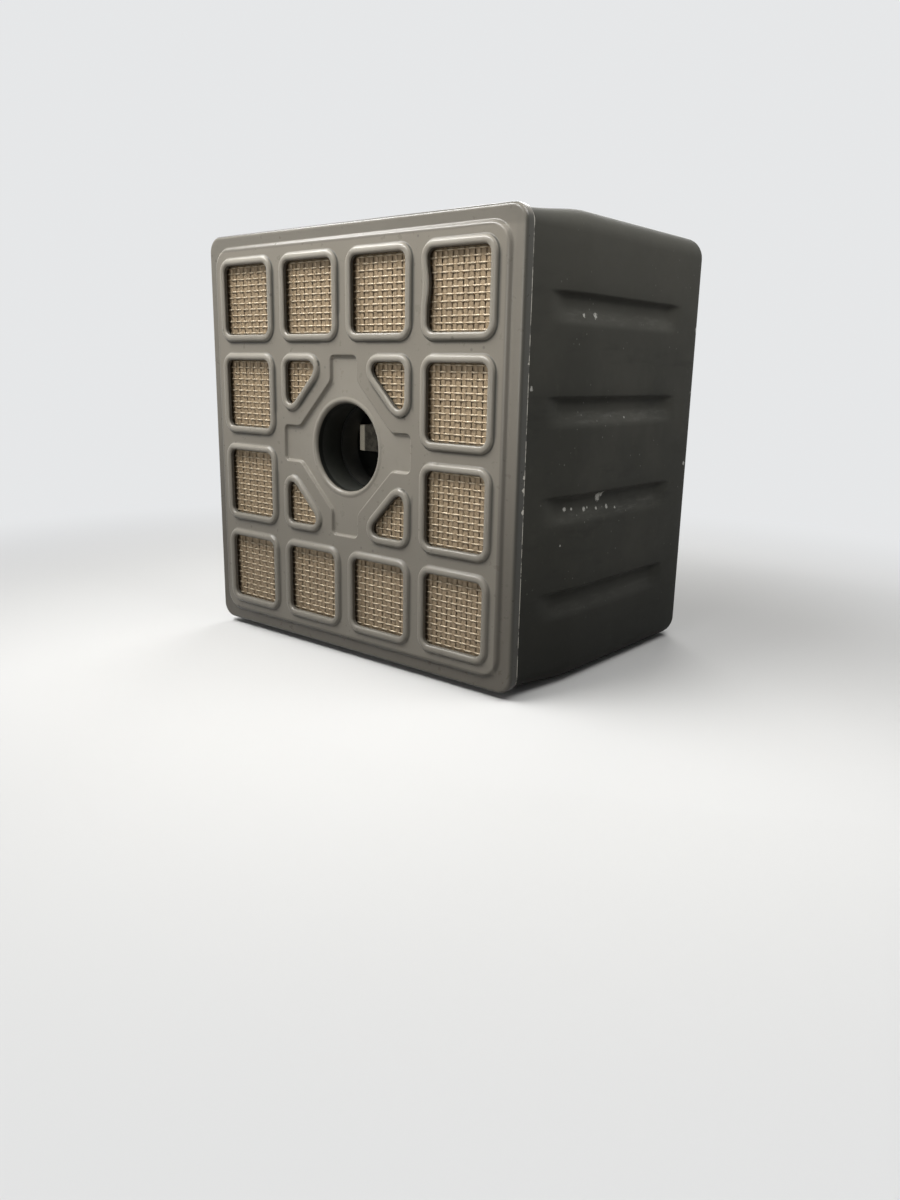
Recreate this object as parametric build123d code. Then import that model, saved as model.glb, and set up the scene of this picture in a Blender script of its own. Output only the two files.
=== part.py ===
from build123d import *
import math
import os

# A square absorber canister from a spacecraft's air system: a drawn sheet can, a pressed cover lapped over its
# mouth, a screened and windowed face at each end, and a bypass tube through the middle with a pull strap in it.
# Lengths are in millimetres. +Z is up, the cover faces -Y, and the origin is under the middle of the whole, on the
# surface that it stands on.

# Overall sizes
face_side = 184.0  # width and height of the cover's outline
canister_depth = 140.0  # from the cover's rim plane to the rear rim plane
sheet = 0.8  # thickness of the pressed sheet

# Cover's outline and lap
face_corner = 7.0  # corner radius of the outline
cover_bend = 1.4  # width of the slanting edge from the rim to the lap
lap_depth = 4.7  # how far the cover's edge reaches back over the can
fit_gap = 0.1  # between pieces that are fitted into one another

# The can, which swells behind its neck
swell = 2.5  # how far each wall stands out past the cover's outline
swell_start = 8.0  # depth where the neck ends
swell_end = 42.0  # depth where the full section is reached
rear_edge = 6.5  # radius round the rear face

# Stiffening grooves, pressed into each wall from front to back
groove_pitch = 39.0
grooves_per_wall = 4
groove_width = 10.5
groove_floor = 4.0  # width of its flat floor
groove_sink = 2.1
groove_front = 16.0  # depth where a groove begins
groove_back = 118.0  # depth where it ends
groove_fade = 12.0  # length over which each end rises to the wall

# Raised panel of each end face
rim_band = 5.0  # flat rim between the outline and the panel's foot
panel_corner = 10.0
panel_rise = 1.5
panel_run = 1.3  # width of its sloping edge

# Windows, four by four, each in a raised boss
window_pitch = 42.0
windows_per_row = 4
window_side = 30.5
window_corner = 3.2
boss_margin = 3.9  # from the window's edge out to the foot of its boss
boss_rise = 1.5
boss_run = 1.1  # width of its sloping edge

# Hub, a flat sunk cross round the bore that turns the four inner windows into triangles
hub_arm_half = 8.7
hub_arm_reach = 39.5
hub_diagonal = 26.3  # from the middle to the cross's slanting sides
hub_corner = 3.0
hub_run = 1.0  # width of its sloping edge
hub_gap = 4.7  # from the hub's slanting side to the foot of a triangular boss

# Bypass bore through the middle
bore_radius = 18.9
lip_flare = 1.6  # how far each mouth's edge flares
collar_depth = 3.5  # length of the drawn collar at each mouth
sleeve_length = 11.5  # of the sleeve behind each collar
sleeve_wall = 1.2
strap_ring_length = 10.0  # of the ring behind the front sleeve, which the strap comes out behind
strap_ring_wall = 1.7
tube_wall = 0.8

# Pull strap across the bore, which comes out just behind the ring
strap_width = 11.8
strap_thick = 1.2
strap_lift = 2.4  # how far its middle lies above the bore's axis
strap_bend = 5.0  # radius of its two turns
rivet_back = 12.9  # from the strap's front to its rivets
strap_end = 6.0  # from the rivets to the ends of its legs
rivet_radius = 1.6
rivet_head_radius = 3.0
rivet_head_thick = 0.8

# Layers inside, between the end faces
seat_clearance = 0.4  # round what is packed into the can, and between soft layers
screen_thick = 0.9
wire_pitch = 2.65  # between the screens' wires
wire_width = 1.0
wire_rise = 0.4  # how far the wires that run across stand out of the weave
felt_thick = 5.6

can_side = face_side + 2 * swell
neck_side = face_side - 2 * (sheet + fit_gap)
neck_corner = face_corner - sheet - fit_gap
neck_inset = (can_side - neck_side) / 2
swell_slope = neck_inset / (swell_end - swell_start)
groove_root = can_side / 2 - swell_slope * (swell_end - groove_front - groove_fade) - groove_sink
fill_side = 2 * (min(neck_side / 2, groove_root) - sheet - seat_clearance)
fill_corner = neck_corner - sheet
screen_side = can_side - 2 * rear_edge
triangle_diagonal = hub_diagonal + hub_gap + boss_margin  # from the middle to a triangular window's long side
inside_tube = bore_radius + sleeve_wall
tube_radius = inside_tube + fit_gap
tube_outer = tube_radius + tube_wall
boss_top = panel_rise + boss_rise
sleeve_end = collar_depth + sleeve_length
strap_ring_end = sleeve_end + strap_ring_length
strap_front = strap_ring_end + fit_gap
rivet_depth = strap_front + rivet_back
strap_leg_end = rivet_depth + strap_end
strap_reach = math.sqrt(inside_tube**2 - (strap_lift + strap_width / 2) ** 2)
rivet_reach = math.sqrt(tube_outer**2 - (strap_lift + rivet_radius) ** 2)

middle_depth = (canister_depth + panel_rise - boss_top) / 2
front = Plane(origin=(0, -middle_depth, can_side / 2), x_dir=(1, 0, 0), z_dir=(0, -1, 0))

# Every shape below is drawn in a face's own frame: its rim plane at z = 0, outwards along +z, depth along -z.


def slab(outline, low, high):
    """A flat outline made solid between two heights."""
    return extrude(Pos(0, 0, low) * outline, high - low)


def frustum(outline, run, low, high):
    """A solid on an outline whose walls lean in by `run`, or out by it where `run` is negative."""
    lean = math.degrees(math.atan2(run, high - low))
    return extrude(Pos(0, 0, low) * outline, high - low, taper=lean)


def rounded_square(side, corner):
    return RectangleRounded(side, side, corner)


def window_places():
    """The middle of each window, and whether the hub cuts it to a triangle."""
    first = -(windows_per_row - 1) / 2
    for column in range(windows_per_row):
        for row in range(windows_per_row):
            x = (first + column) * window_pitch
            y = (first + row) * window_pitch
            yield x, y, max(abs(x), abs(y)) < window_pitch


def triangle_outline():
    """The window right of and above the bore: a square's outer corner, cut off by the hub's slanting side."""
    far = (window_pitch + window_side) / 2
    near = triangle_diagonal * math.sqrt(2) - far
    flat = Polygon((far, far), (near, far), (far, near), align=None)
    return fillet(flat.vertices(), window_corner)


def window_outline(x, y, cut_by_hub):
    """A window's outline in its place on the face."""
    if not cut_by_hub:
        return Pos(x, y) * rounded_square(window_side, window_corner)
    quarter_turn = round(math.degrees(math.atan2(y, x)) - 45)
    return Rot(0, 0, quarter_turn) * triangle_outline()


def hub_outline():
    """A cross with slanting inner corners, as it is at the panel's surface."""
    corner = hub_diagonal * math.sqrt(2) - hub_arm_half
    arm = [(hub_arm_reach, -hub_arm_half), (hub_arm_reach, hub_arm_half), (corner, hub_arm_half),
           (hub_arm_half, corner)]
    points = [Vector(x, y).rotate(Axis.Z, 90 * turn) for turn in range(4) for x, y in arm]
    return fillet(Polygon(*points, align=None).vertices(), hub_corner)


def raised_panel(skin):
    """The panel that rises from the rim plane, with the hub sunk into it, `skin` inside its outer surface."""
    panel_side = face_side - 2 * (rim_band + skin)
    panel = frustum(rounded_square(panel_side, panel_corner - skin), panel_run, -skin, panel_rise - skin)
    hub_floor = offset(hub_outline(), skin - hub_run, kind=Kind.ARC)
    return panel - frustum(hub_floor, -hub_run, -skin, panel_rise - skin)


def pierced(face, bossed):
    """Gives a face its windows, each in a boss where `bossed`, and draws the collar at the bore."""
    outlines = [window_outline(x, y, cut_by_hub) for x, y, cut_by_hub in window_places()]
    if bossed:
        feet = [offset(outline, boss_margin, kind=Kind.ARC) for outline in outlines]
        face += [frustum(foot, boss_run, panel_rise, boss_top) for foot in feet]
    face -= [slab(outline, -sheet, boss_top + sheet) for outline in outlines]
    face += slab(Circle(bore_radius + sheet), -collar_depth, -sheet / 2)
    face -= slab(Circle(bore_radius), -collar_depth - sheet, sheet)
    mouth = face.edges().filter_by(GeomType.CIRCLE).filter_by(lambda e: abs(e.radius - bore_radius) < 0.01)
    return chamfer(mouth.sort_by(Axis.Z)[-1], lip_flare)


def cover():
    """The pressed cover, with its lap round the can's neck."""
    outer = slab(rounded_square(face_side, face_corner), -lap_depth, 0)
    outer = chamfer(outer.faces().sort_by(Axis.Z)[-1].edges(), cover_bend)
    inner = slab(rounded_square(face_side - 2 * sheet, face_corner - sheet), -lap_depth - sheet, -sheet)
    inner = chamfer(inner.faces().sort_by(Axis.Z)[-1].edges(), cover_bend - sheet)
    return pierced(outer + raised_panel(0) - (inner + raised_panel(sheet)), bossed=True)


def can_form(skin, mouth):
    """The can's outside, or its inside where `skin` is the sheet, drawn with its mouth at depth `mouth`."""
    neck = rounded_square(neck_side - 2 * skin, neck_corner - skin)
    full = offset(neck, neck_inset, kind=Kind.ARC)
    swelling = frustum(full, neck_inset, -swell_end, -swell_start)
    return slab(neck, -swell_start, -mouth) + swelling + slab(full, skin - canister_depth, -swell_end)


def channel(length, skin):
    """A flat-floored channel along -z in the wall x = 0, whose far end rises to the wall."""
    sunk = -groove_sink - skin
    half = groove_width / 2 + skin
    floor_half = groove_floor / 2 + skin
    end = -length - skin
    across = Polygon((sunk, -floor_half), (0, -half), (0, half), (sunk, floor_half), align=None)
    along = Polygon((0, 0), (sunk, 0), (sunk, end + groove_fade), (0, end), align=None)
    return slab(across, end, 0) & extrude(Plane.XZ * along, half, both=True)


def grooves(skin):
    """The grooves of all four walls as solids to cut away, each bent to follow the swelling."""
    lean = math.degrees(math.atan(swell_slope))
    front_part = mirror(channel(swell_end - groove_front, skin), Plane.XY)
    groove = Pos(can_side / 2, 0, -swell_end) * (channel(groove_back - swell_end, skin) + Rot(0, -lean, 0) * front_part)
    first = -(grooves_per_wall - 1) / 2
    wall = [Pos(0, (first + index) * groove_pitch) * groove for index in range(grooves_per_wall)]
    return [Rot(0, 0, 90 * turn) * each for turn in range(4) for each in wall]


def can():
    """The drawn can, whose rear wall is a panelled and windowed face like the cover's, without the bosses."""
    turned = Pos(0, 0, -canister_depth) * Rot(0, 180, 0)
    outer = can_form(0, cover_bend)
    outer = fillet(outer.faces().sort_by(Axis.Z)[0].edges(), rear_edge)
    inner = can_form(sheet, 0)
    inner = chamfer(inner.faces().sort_by(Axis.Z)[0].edges(), rear_edge / 2)
    shell = (outer - grooves(0) + turned * raised_panel(0)) - (inner - grooves(sheet) + turned * raised_panel(sheet))
    return turned * pierced(turned.inverse() * shell, bossed=False)


def layer(side, corner, front_depth, back_depth):
    """A square layer packed into the can, its corners cut off, with room for the tube."""
    square = Rectangle(side, side)
    flat = chamfer(square.vertices(), corner) - Circle(tube_outer + seat_clearance)
    return slab(flat, -back_depth, -front_depth)


def screen():
    """The front screen: its weave as a sheet, with the wires that run across standing out of it."""
    weave = layer(screen_side, panel_corner, screen_front, screen_back)
    gap = Rectangle(screen_side + wire_width, wire_pitch - wire_width)
    gaps_each_way = int(screen_side / 2 / wire_pitch)
    rows = [row * wire_pitch for row in range(-gaps_each_way, gaps_each_way + 1)]
    return weave - [slab(Pos(0, row) * gap, -screen_front - wire_rise, 0) for row in rows]


def fill(front_depth, back_depth):
    return layer(fill_side, fill_corner, front_depth, back_depth)


def ring(inner, outer, front_depth, back_depth):
    return slab(Circle(outer) - Circle(inner), -back_depth, -front_depth)


def cross_pin(radius, half_length):
    """A pin across the bore, where the strap's two rivets go."""
    return Pos(0, strap_lift, -rivet_depth) * Rot(0, 90, 0) * Cylinder(radius, 2 * half_length)


def tube():
    """The bypass tube, clamped between the end faces, with its two rivet holes."""
    hole = cross_pin(rivet_radius + fit_gap, tube_outer)
    return ring(tube_radius, tube_outer, sheet, canister_depth - sheet) - hole


def strap():
    """A band across the bore whose two legs turn back along the tube's wall."""
    middle = strap_reach - strap_thick / 2
    front_line = -strap_front - strap_thick / 2
    path = FilletPolyline((-middle, -strap_leg_end), (-middle, front_line), (middle, front_line),
                          (middle, -strap_leg_end), radius=strap_bend)
    band = extrude(Plane.XZ * trace(path, strap_thick), strap_width / 2, both=True)
    return Pos(0, strap_lift) * band - cross_pin(rivet_radius + fit_gap, tube_outer)


def rivets():
    """Two rivets, each with its head on a leg of the strap and its shank in the tube's wall."""
    seat = strap_reach - strap_thick
    shanks = cross_pin(rivet_radius, rivet_reach) - cross_pin(rivet_head_radius, seat)
    heads = cross_pin(rivet_head_radius, seat) - cross_pin(rivet_head_radius, seat - rivet_head_thick)
    return shanks + heads


screen_front = sheet
screen_back = screen_front + screen_thick
felt_front = screen_back + seat_clearance
felt_back = felt_front + felt_thick
bed_front = felt_back + seat_clearance

nodes = {
    "front_cover": cover(),
    "canister_body": can(),
    "front_screen": screen(),
    "front_filter_felt": fill(felt_front, felt_back),
    "absorber_bed": fill(bed_front, canister_depth - bed_front),
    "rear_filter_felt": fill(canister_depth - felt_back, canister_depth - felt_front),
    "rear_screen": mirror(screen(), Plane.XY.offset(-canister_depth / 2)),
    "bypass_tube": tube(),
    "front_sleeve": ring(bore_radius, inside_tube, collar_depth, sleeve_end),
    "rear_sleeve": ring(bore_radius, inside_tube, canister_depth - sleeve_end, canister_depth - collar_depth),
    "strap_ring": ring(inside_tube - strap_ring_wall, inside_tube, sleeve_end, strap_ring_end),
    "pull_strap": strap(),
    "strap_rivets": rivets(),
}

os.makedirs("parts", exist_ok=True)
for name, shape in nodes.items():
    export_step(front.location * shape, f"parts/{name}.step")
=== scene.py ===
"""A square absorber canister, dressed: cover, grooved can, woven screens, felt, and the bore's strap."""
import logging
import math
from collections.abc import Callable, Iterable, Sequence
from dataclasses import dataclass
from enum import Enum
from itertools import pairwise

import bmesh
import bpy
from mathutils import Matrix, Vector


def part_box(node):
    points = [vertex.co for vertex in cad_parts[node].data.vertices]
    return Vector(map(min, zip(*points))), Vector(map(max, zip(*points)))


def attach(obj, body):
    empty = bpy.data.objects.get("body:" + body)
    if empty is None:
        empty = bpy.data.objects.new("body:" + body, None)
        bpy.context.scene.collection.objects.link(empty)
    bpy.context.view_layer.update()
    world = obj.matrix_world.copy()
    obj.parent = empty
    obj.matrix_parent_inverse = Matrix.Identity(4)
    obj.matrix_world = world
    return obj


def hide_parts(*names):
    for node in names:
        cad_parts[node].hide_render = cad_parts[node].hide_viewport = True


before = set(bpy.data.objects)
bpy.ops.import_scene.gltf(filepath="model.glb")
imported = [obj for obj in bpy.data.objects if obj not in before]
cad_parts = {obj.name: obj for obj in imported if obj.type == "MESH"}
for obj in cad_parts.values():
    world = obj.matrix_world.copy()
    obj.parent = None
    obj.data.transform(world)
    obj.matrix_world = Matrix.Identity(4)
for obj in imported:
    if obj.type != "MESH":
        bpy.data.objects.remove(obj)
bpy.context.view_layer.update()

MM = 0.001  # a millimetre in metres: the canister's sizes are in millimetres, the studio's in metres
RIM_Y = -69.25  # the cover's rim plane
MIDDLE_Z = 94.5  # height of the bore's axis
DEPTH = 140.0  # from the cover's rim plane to the rear rim plane
SHEET = 0.8  # thickness of the pressed sheet
PANEL_RISE = 1.5  # height of an end face's panel over its rim
WINDOW_PITCH = 42.0
GROOVE_PITCH = 39.0
BORE_RADIUS = 18.9
EASE = 0.2  # width of the flat strip at a profile's start
NEAR = 0.01  # places that are nearer than this count as the same
HAIR = 0.001  # the least step inward of a profile
EIGHTH = math.tan(math.radians(22.5))  # the tangent that sizes the rounds of 45 and 135 degree corners
SHARP_ROUND = 0.4077  # the bevel's shape that makes a 45 degree corner's round an arc

log = logging.getLogger("canister")

Span = tuple[float, float]
Profile = Sequence[Span]
Point = tuple[float, float, float]
Colour = tuple[float, float, float]
Chip = tuple[float, float, float, float]
Test = Callable[..., bool]


class Part(Enum):
    """What a selection is made of: the select mode's name and the mesh's own list."""

    CORNERS = ("VERT", "verts")
    EDGES = ("EDGE", "edges")
    FACES = ("FACE", "faces")


class Facing(Enum):
    """How a piece drawn flat, with +Z outward, is stood up in the canister."""

    FRONT = (math.radians(90), RIM_Y)
    REAR = (math.radians(-90), RIM_Y + DEPTH)


def spot(corner: bmesh.types.BMVert) -> Vector:
    """A corner's place in millimetres."""
    return corner.co / MM


def windows() -> list[tuple[float, float, bool]]:
    """Each window's place across and up its end face, and whether the hub cuts it to a triangle."""
    places = [step * WINDOW_PITCH for step in (-1.5, -0.5, 0.5, 1.5)]
    return [(x, y, max(abs(x), abs(y)) < WINDOW_PITCH) for x in places for y in places]


def share(place: float, start: float, end: float) -> float:
    """How far a place is from a start towards an end, kept from 0 to 1."""
    return min(max((place - start) / (end - start), 0.0), 1.0)


def eased(part: float) -> float:
    """A share that starts and stops softly."""
    return part * part * (3 - 2 * part)


class Workpiece:
    """A mesh on the bench, shaped in edit mode. Sizes handed to it are in millimetres."""

    def __init__(self, thing: bpy.types.Object) -> None:
        """Takes an object on the bench."""
        self.object = thing

    @classmethod
    def drawn(cls, name: str, points: Sequence[Point]) -> "Workpiece":
        """Starts from a flat primitive whose corners are moved to a drawing's points.

        Args:
            name: the object's name.
            points: the corners in order.

        Returns:
            The piece, in edit mode, with all of it picked.
        """
        bpy.ops.mesh.primitive_circle_add(vertices=len(points), radius=MM, fill_type="NGON")
        piece = cls(bpy.context.object)
        piece.object.name = name
        piece.open()
        places = [spot(corner) for corner in piece.mesh().verts]
        for index, point in enumerate(points):
            piece.pick(Part.CORNERS, lambda corner: corner.index == index)
            piece.move(Vector(point) - places[index])
        piece.pick(Part.FACES, lambda face: face.normal.z < 0)
        bpy.ops.mesh.flip_normals()
        piece.pick_all()
        return piece

    @classmethod
    def sheet(cls, name: str, side: float, cells: int) -> "Workpiece":
        """Starts from a flat square grid, in edit mode."""
        bpy.ops.mesh.primitive_grid_add(x_subdivisions=cells, y_subdivisions=cells, size=side * MM)
        piece = cls(bpy.context.object)
        piece.object.name = name
        piece.open()
        return piece

    def mesh(self) -> bmesh.types.BMesh:
        """The mesh as it is in edit mode."""
        mesh = bmesh.from_edit_mesh(self.object.data)
        mesh.verts.ensure_lookup_table()
        mesh.verts.index_update()
        return mesh

    def take_up(self) -> None:
        """Makes this piece the active one and the only one selected."""
        bpy.ops.object.select_all(action="DESELECT")
        self.object.select_set(True)
        bpy.context.view_layer.objects.active = self.object

    def open(self) -> None:
        """Puts this piece alone on the bench, in edit mode, with all of it picked."""
        self.take_up()
        bpy.ops.object.mode_set(mode="EDIT")
        self.pick_all()

    def close(self) -> "Workpiece":
        """Leaves edit mode."""
        bpy.ops.object.mode_set(mode="OBJECT")
        return self

    def pick_all(self) -> None:
        """Selects the whole mesh."""
        bpy.ops.mesh.select_all(action="SELECT")

    def pick(self, part: Part, test: Test) -> None:
        """Selects the corners, edges or faces that pass a test, and nothing else.

        Args:
            part: what is selected.
            test: is given each of them.
        """
        bpy.ops.mesh.select_mode(type=part.value[0])
        bpy.ops.mesh.select_all(action="DESELECT")
        mesh = self.mesh()
        for each in getattr(mesh, part.value[1]):
            if test(each):
                each.select = True
        mesh.select_flush_mode()
        bmesh.update_edit_mesh(self.object.data)

    def pick_line(self, axis: int, place: float) -> None:
        """Selects the edges whose corners all lie at a place along an axis."""
        self.pick(Part.CORNERS, lambda corner: abs(spot(corner)[axis] - place) < NEAR)
        bpy.ops.mesh.select_mode(type="EDGE")

    def move(self, step: Sequence[float], softness: float = 0.0) -> None:
        """Moves what is picked, and drags what is within `softness` of it along."""
        bpy.ops.transform.translate(
            value=tuple(Vector(step) * MM), use_proportional_edit=softness > 0,
            proportional_edit_falloff="SMOOTH", proportional_size=max(softness, 1) * MM)
        bpy.context.scene.tool_settings.use_proportional_edit = False

    def shift(self, step: Sequence[float]) -> None:
        """Moves the whole mesh by a step."""
        self.open()
        self.move(step)
        self.close()

    def draw_out(self, step: Sequence[float]) -> None:
        """Extrudes what is picked by a step."""
        bpy.ops.mesh.extrude_region_move(TRANSFORM_OT_translate={"value": tuple(Vector(step) * MM)})

    def spin(self, centre: Sequence[float], axis: Point, angle: float = -90.0, steps: int = 8) -> None:
        """Spins what is picked by an angle in degrees."""
        bpy.ops.mesh.spin(steps=steps, angle=math.radians(angle), axis=axis,
                          center=[way * MM for way in centre])

    def round_corners(self, radius: float, test: Test = lambda corner: True, segments: int = 8,
                      profile: float = 0.5) -> None:
        """Rounds the flat plate's corners that pass the test, `radius` along each of their edges."""
        self.pick(Part.CORNERS, test)
        bpy.ops.mesh.bevel(offset=radius * MM, segments=segments, profile=profile, affect="VERTICES")
        bpy.ops.mesh.select_mode(type="FACE")
        self.pick_all()

    def press(self, steps: Profile) -> "Workpiece":
        """Presses the picked face through a profile, takes the last inner face out and leaves edit mode.

        Args:
            steps: distance in from the outline and height, from the outline inward.

        Returns:
            The piece.
        """
        for (inset, height), (next_inset, next_height) in pairwise(steps):
            bpy.ops.mesh.inset(
                thickness=max(next_inset - inset, HAIR) * MM, depth=(next_height - height) * MM,
                use_even_offset=True, use_boundary=True)
        bpy.ops.mesh.delete(type="FACE")
        return self.close()

    def fill_between(self, height: float, test: Test = lambda corner: True) -> None:
        """Closes the flat field between the open edges at a height whose ends pass the test."""
        self.pick(Part.EDGES, lambda edge: len(edge.link_faces) < 2 and all(
            abs(spot(corner).z - height) < NEAR / 2 and test(corner) for corner in edge.verts))
        bpy.ops.mesh.fill()

    def weld(self, gap: float = NEAR / 2) -> None:
        """Merges corners that meet and turns every face outward."""
        self.pick_all()
        bpy.ops.mesh.remove_doubles(threshold=gap * MM)
        bpy.ops.mesh.normals_make_consistent(inside=False)

    def face_outward(self, point: Point) -> None:
        """Turns the whole mesh over if its face nearest to a point looks down."""
        place = Vector(point) * MM
        near = min(self.mesh().faces, key=lambda face: (face.calc_center_median() - place).length)
        if near.normal.z < 0:
            self.pick_all()
            bpy.ops.mesh.flip_normals()

    def lay(self, turn: Sequence[float], place: Sequence[float]) -> None:
        """Turns the piece by three angles, moves it and applies both."""
        self.take_up()
        self.object.rotation_euler = turn
        self.object.location = Vector(place) * MM
        bpy.ops.object.transform_apply(location=True, rotation=True, scale=True)

    def copy(self, move: Point = (0, 0, 0), turn: float = 0.0, flip: bool = False) -> "Workpiece":
        """Makes a copy with its own mesh, flipped, turned about Z and moved."""
        self.take_up()
        bpy.ops.object.duplicate(linked=False)
        twin = Workpiece(bpy.context.object)
        twin.object.scale = (1, 1, -1 if flip else 1)
        twin.lay((0, 0, turn), move)
        return twin

    def take_in(self, others: Iterable["Workpiece"]) -> None:
        """Joins other pieces to this one."""
        self.take_up()
        for other in others:
            other.object.select_set(True)
        bpy.ops.object.join()

    def work(self, kind: str, **settings: object) -> None:
        """Adds a modifier with its settings and applies it."""
        self.take_up()
        modifier = self.object.modifiers.new(kind.lower(), kind)
        for name, value in settings.items():
            setattr(modifier, name, value)
        bpy.ops.object.modifier_apply(modifier=modifier.name)

    def repeat(self, count: int, step: Sequence[float]) -> None:
        """Repeats the piece along a step, the ends that meet merged."""
        self.work("ARRAY", count=count, use_relative_offset=False, use_constant_offset=True,
                  constant_offset_displace=[way * MM for way in step], use_merge_vertices=True,
                  merge_threshold=NEAR * MM)

    def thicken(self, thickness: float, offset: float = -1.0) -> None:
        """Makes a sheet solid, backward from its face or, at an offset of 0, evenly to both sides."""
        self.work("SOLIDIFY", thickness=thickness * MM, offset=offset, use_even_offset=True)

    def discard(self) -> None:
        """Takes a piece that only served as a pattern off the bench."""
        bpy.data.objects.remove(self.object)

    def stand(self, facing: Facing) -> None:
        """Stands a flat-drawn piece up in its place."""
        turn, place = facing.value
        self.lay((turn, 0, 0), (0, place, MIDDLE_Z))

    def hand_over(self, name: str, node: str, slot: str, finish: bpy.types.Material,
                  angle: float = 40.0) -> None:
        """Smooths the finished piece, dresses it, hangs it under the root body and hides the CAD node that it
        stands for.

        Args:
            name: the piece's name.
            node: the CAD node that it stands for.
            slot: not used.
            finish: its material.
            angle: edges sharper than this many degrees stay sharp.
        """
        self.take_up()
        bpy.ops.object.shade_smooth_by_angle(angle=math.radians(angle))
        self.object.name = name
        self.object.data.name = name
        self.object.data.materials.clear()
        self.object.data.materials.append(finish)
        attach(self.object, "root")
        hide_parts(node)
        triangles = sum(len(face.vertices) - 2 for face in self.object.data.polygons)
        log.info("%s: %d triangles", name, triangles)


def square(side: float, height: float = 0.0) -> list[Point]:
    """The corners of a square round the middle."""
    half = side / 2
    return [(-half, -half, height), (half, -half, height), (half, half, height), (-half, half, height)]


def circle(radius: float, steps: int, height: float = 0.0) -> list[Point]:
    """Points round a circle."""
    angles = [math.tau * step / steps for step in range(steps)]
    return [(radius * math.cos(angle), radius * math.sin(angle), height) for angle in angles]


def lathe(name: str, section: Profile, steps: int = 96) -> Workpiece:
    """Spins a closed section of (radius, height) points once round Z."""
    piece = Workpiece.drawn(name, [(radius, height, 0) for radius, height in section])
    bpy.ops.transform.rotate(value=math.radians(90), orient_axis="X", center_override=(0, 0, 0))
    if piece.mesh().verts[0].co.z * section[0][1] < 0:
        bpy.ops.transform.mirror(constraint_axis=(False, False, True), center_override=(0, 0, 0))
    bpy.ops.mesh.delete(type="ONLY_FACE")
    bpy.ops.mesh.select_mode(type="EDGE")
    piece.pick_all()
    piece.spin((0, 0, 0), (0, 0, 1), 360, steps)
    piece.weld()
    bpy.ops.mesh.delete_loose(use_verts=True, use_edges=True, use_faces=False)
    return piece.close()


# Materials


class Level:
    """A number that varies over the surface. Arithmetic on it adds Math nodes."""

    def __init__(self, nodes: "Nodes", socket: bpy.types.NodeSocket) -> None:
        """Takes one of the nodes' outputs."""
        self.nodes = nodes
        self.socket = socket

    def _work_out(self, operation: str, first: "Level | float", second: "Level | float" = 0.0) -> "Level":
        """One Math node on one or two values."""
        node = self.nodes.add("ShaderNodeMath", {"operation": operation}, {0: first, 1: second})
        return Level(self.nodes, node.outputs[0])

    def __add__(self, other: "Level | float") -> "Level":
        """self + other."""
        return self._work_out("ADD", self, other)

    def __radd__(self, other: float) -> "Level":
        """other + self."""
        return self._work_out("ADD", other, self)

    def __sub__(self, other: "Level | float") -> "Level":
        """self - other."""
        return self._work_out("SUBTRACT", self, other)

    def __rsub__(self, other: float) -> "Level":
        """other - self."""
        return self._work_out("SUBTRACT", other, self)

    def __mul__(self, other: "Level | float") -> "Level":
        """self * other."""
        return self._work_out("MULTIPLY", self, other)

    def __rmul__(self, other: float) -> "Level":
        """other * self."""
        return self._work_out("MULTIPLY", other, self)

    def __abs__(self) -> "Level":
        """Its size without its sign."""
        return self._work_out("ABSOLUTE", self)

    def sine(self) -> "Level":
        """Its sine."""
        return self._work_out("SINE", self)

    def fraction(self) -> "Level":
        """What it has over the next lower whole number."""
        return self._work_out("FRACT", self)

    def larger(self, other: "Level | float") -> "Level":
        """The larger of the two."""
        return self._work_out("MAXIMUM", self, other)

    def between(self, low: float, high: float) -> "Level":
        """Rises smoothly from 0 at `low` to 1 at `high`, or falls where `low` is the larger."""
        node = self.nodes.add("ShaderNodeMapRange", {"interpolation_type": "SMOOTHSTEP"}, {
            0: self, 1: min(low, high), 2: max(low, high), 3: float(low > high), 4: float(low <= high)})
        return Level(self.nodes, node.outputs[0])


class Nodes:
    """The nodes of a material or of the world."""

    def __init__(self, tree: bpy.types.NodeTree) -> None:
        """Takes a node tree in hand."""
        self.tree = tree

    def add(self, kind: str, settings: dict[str, object], inputs: dict[int | str, object]) -> bpy.types.Node:
        """Adds a node.

        Args:
            kind: the node's type.
            settings: its own properties, set before its sockets.
            inputs: a value, a Level or a socket for each input, by its number or name.

        Returns:
            The node.
        """
        node = self.tree.nodes.new(kind)
        for name, value in settings.items():
            setattr(node, name, value)
        for key, value in inputs.items():
            source = value.socket if isinstance(value, Level) else value
            if isinstance(source, bpy.types.NodeSocket):
                self.tree.links.new(source, node.inputs[key])
            else:
                node.inputs[key].default_value = source
        return node

    def seen(self) -> Level:
        """1 on rays from the camera, straight, reflected or through something clear, and 0 on the rest."""
        rays = self.add("ShaderNodeLightPath", {}, {}).outputs
        seen = Level(self, rays["Is Camera Ray"])
        for kind in ("Is Glossy Ray", "Is Transmission Ray"):
            seen = seen.larger(Level(self, rays[kind]))
        return seen


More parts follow.
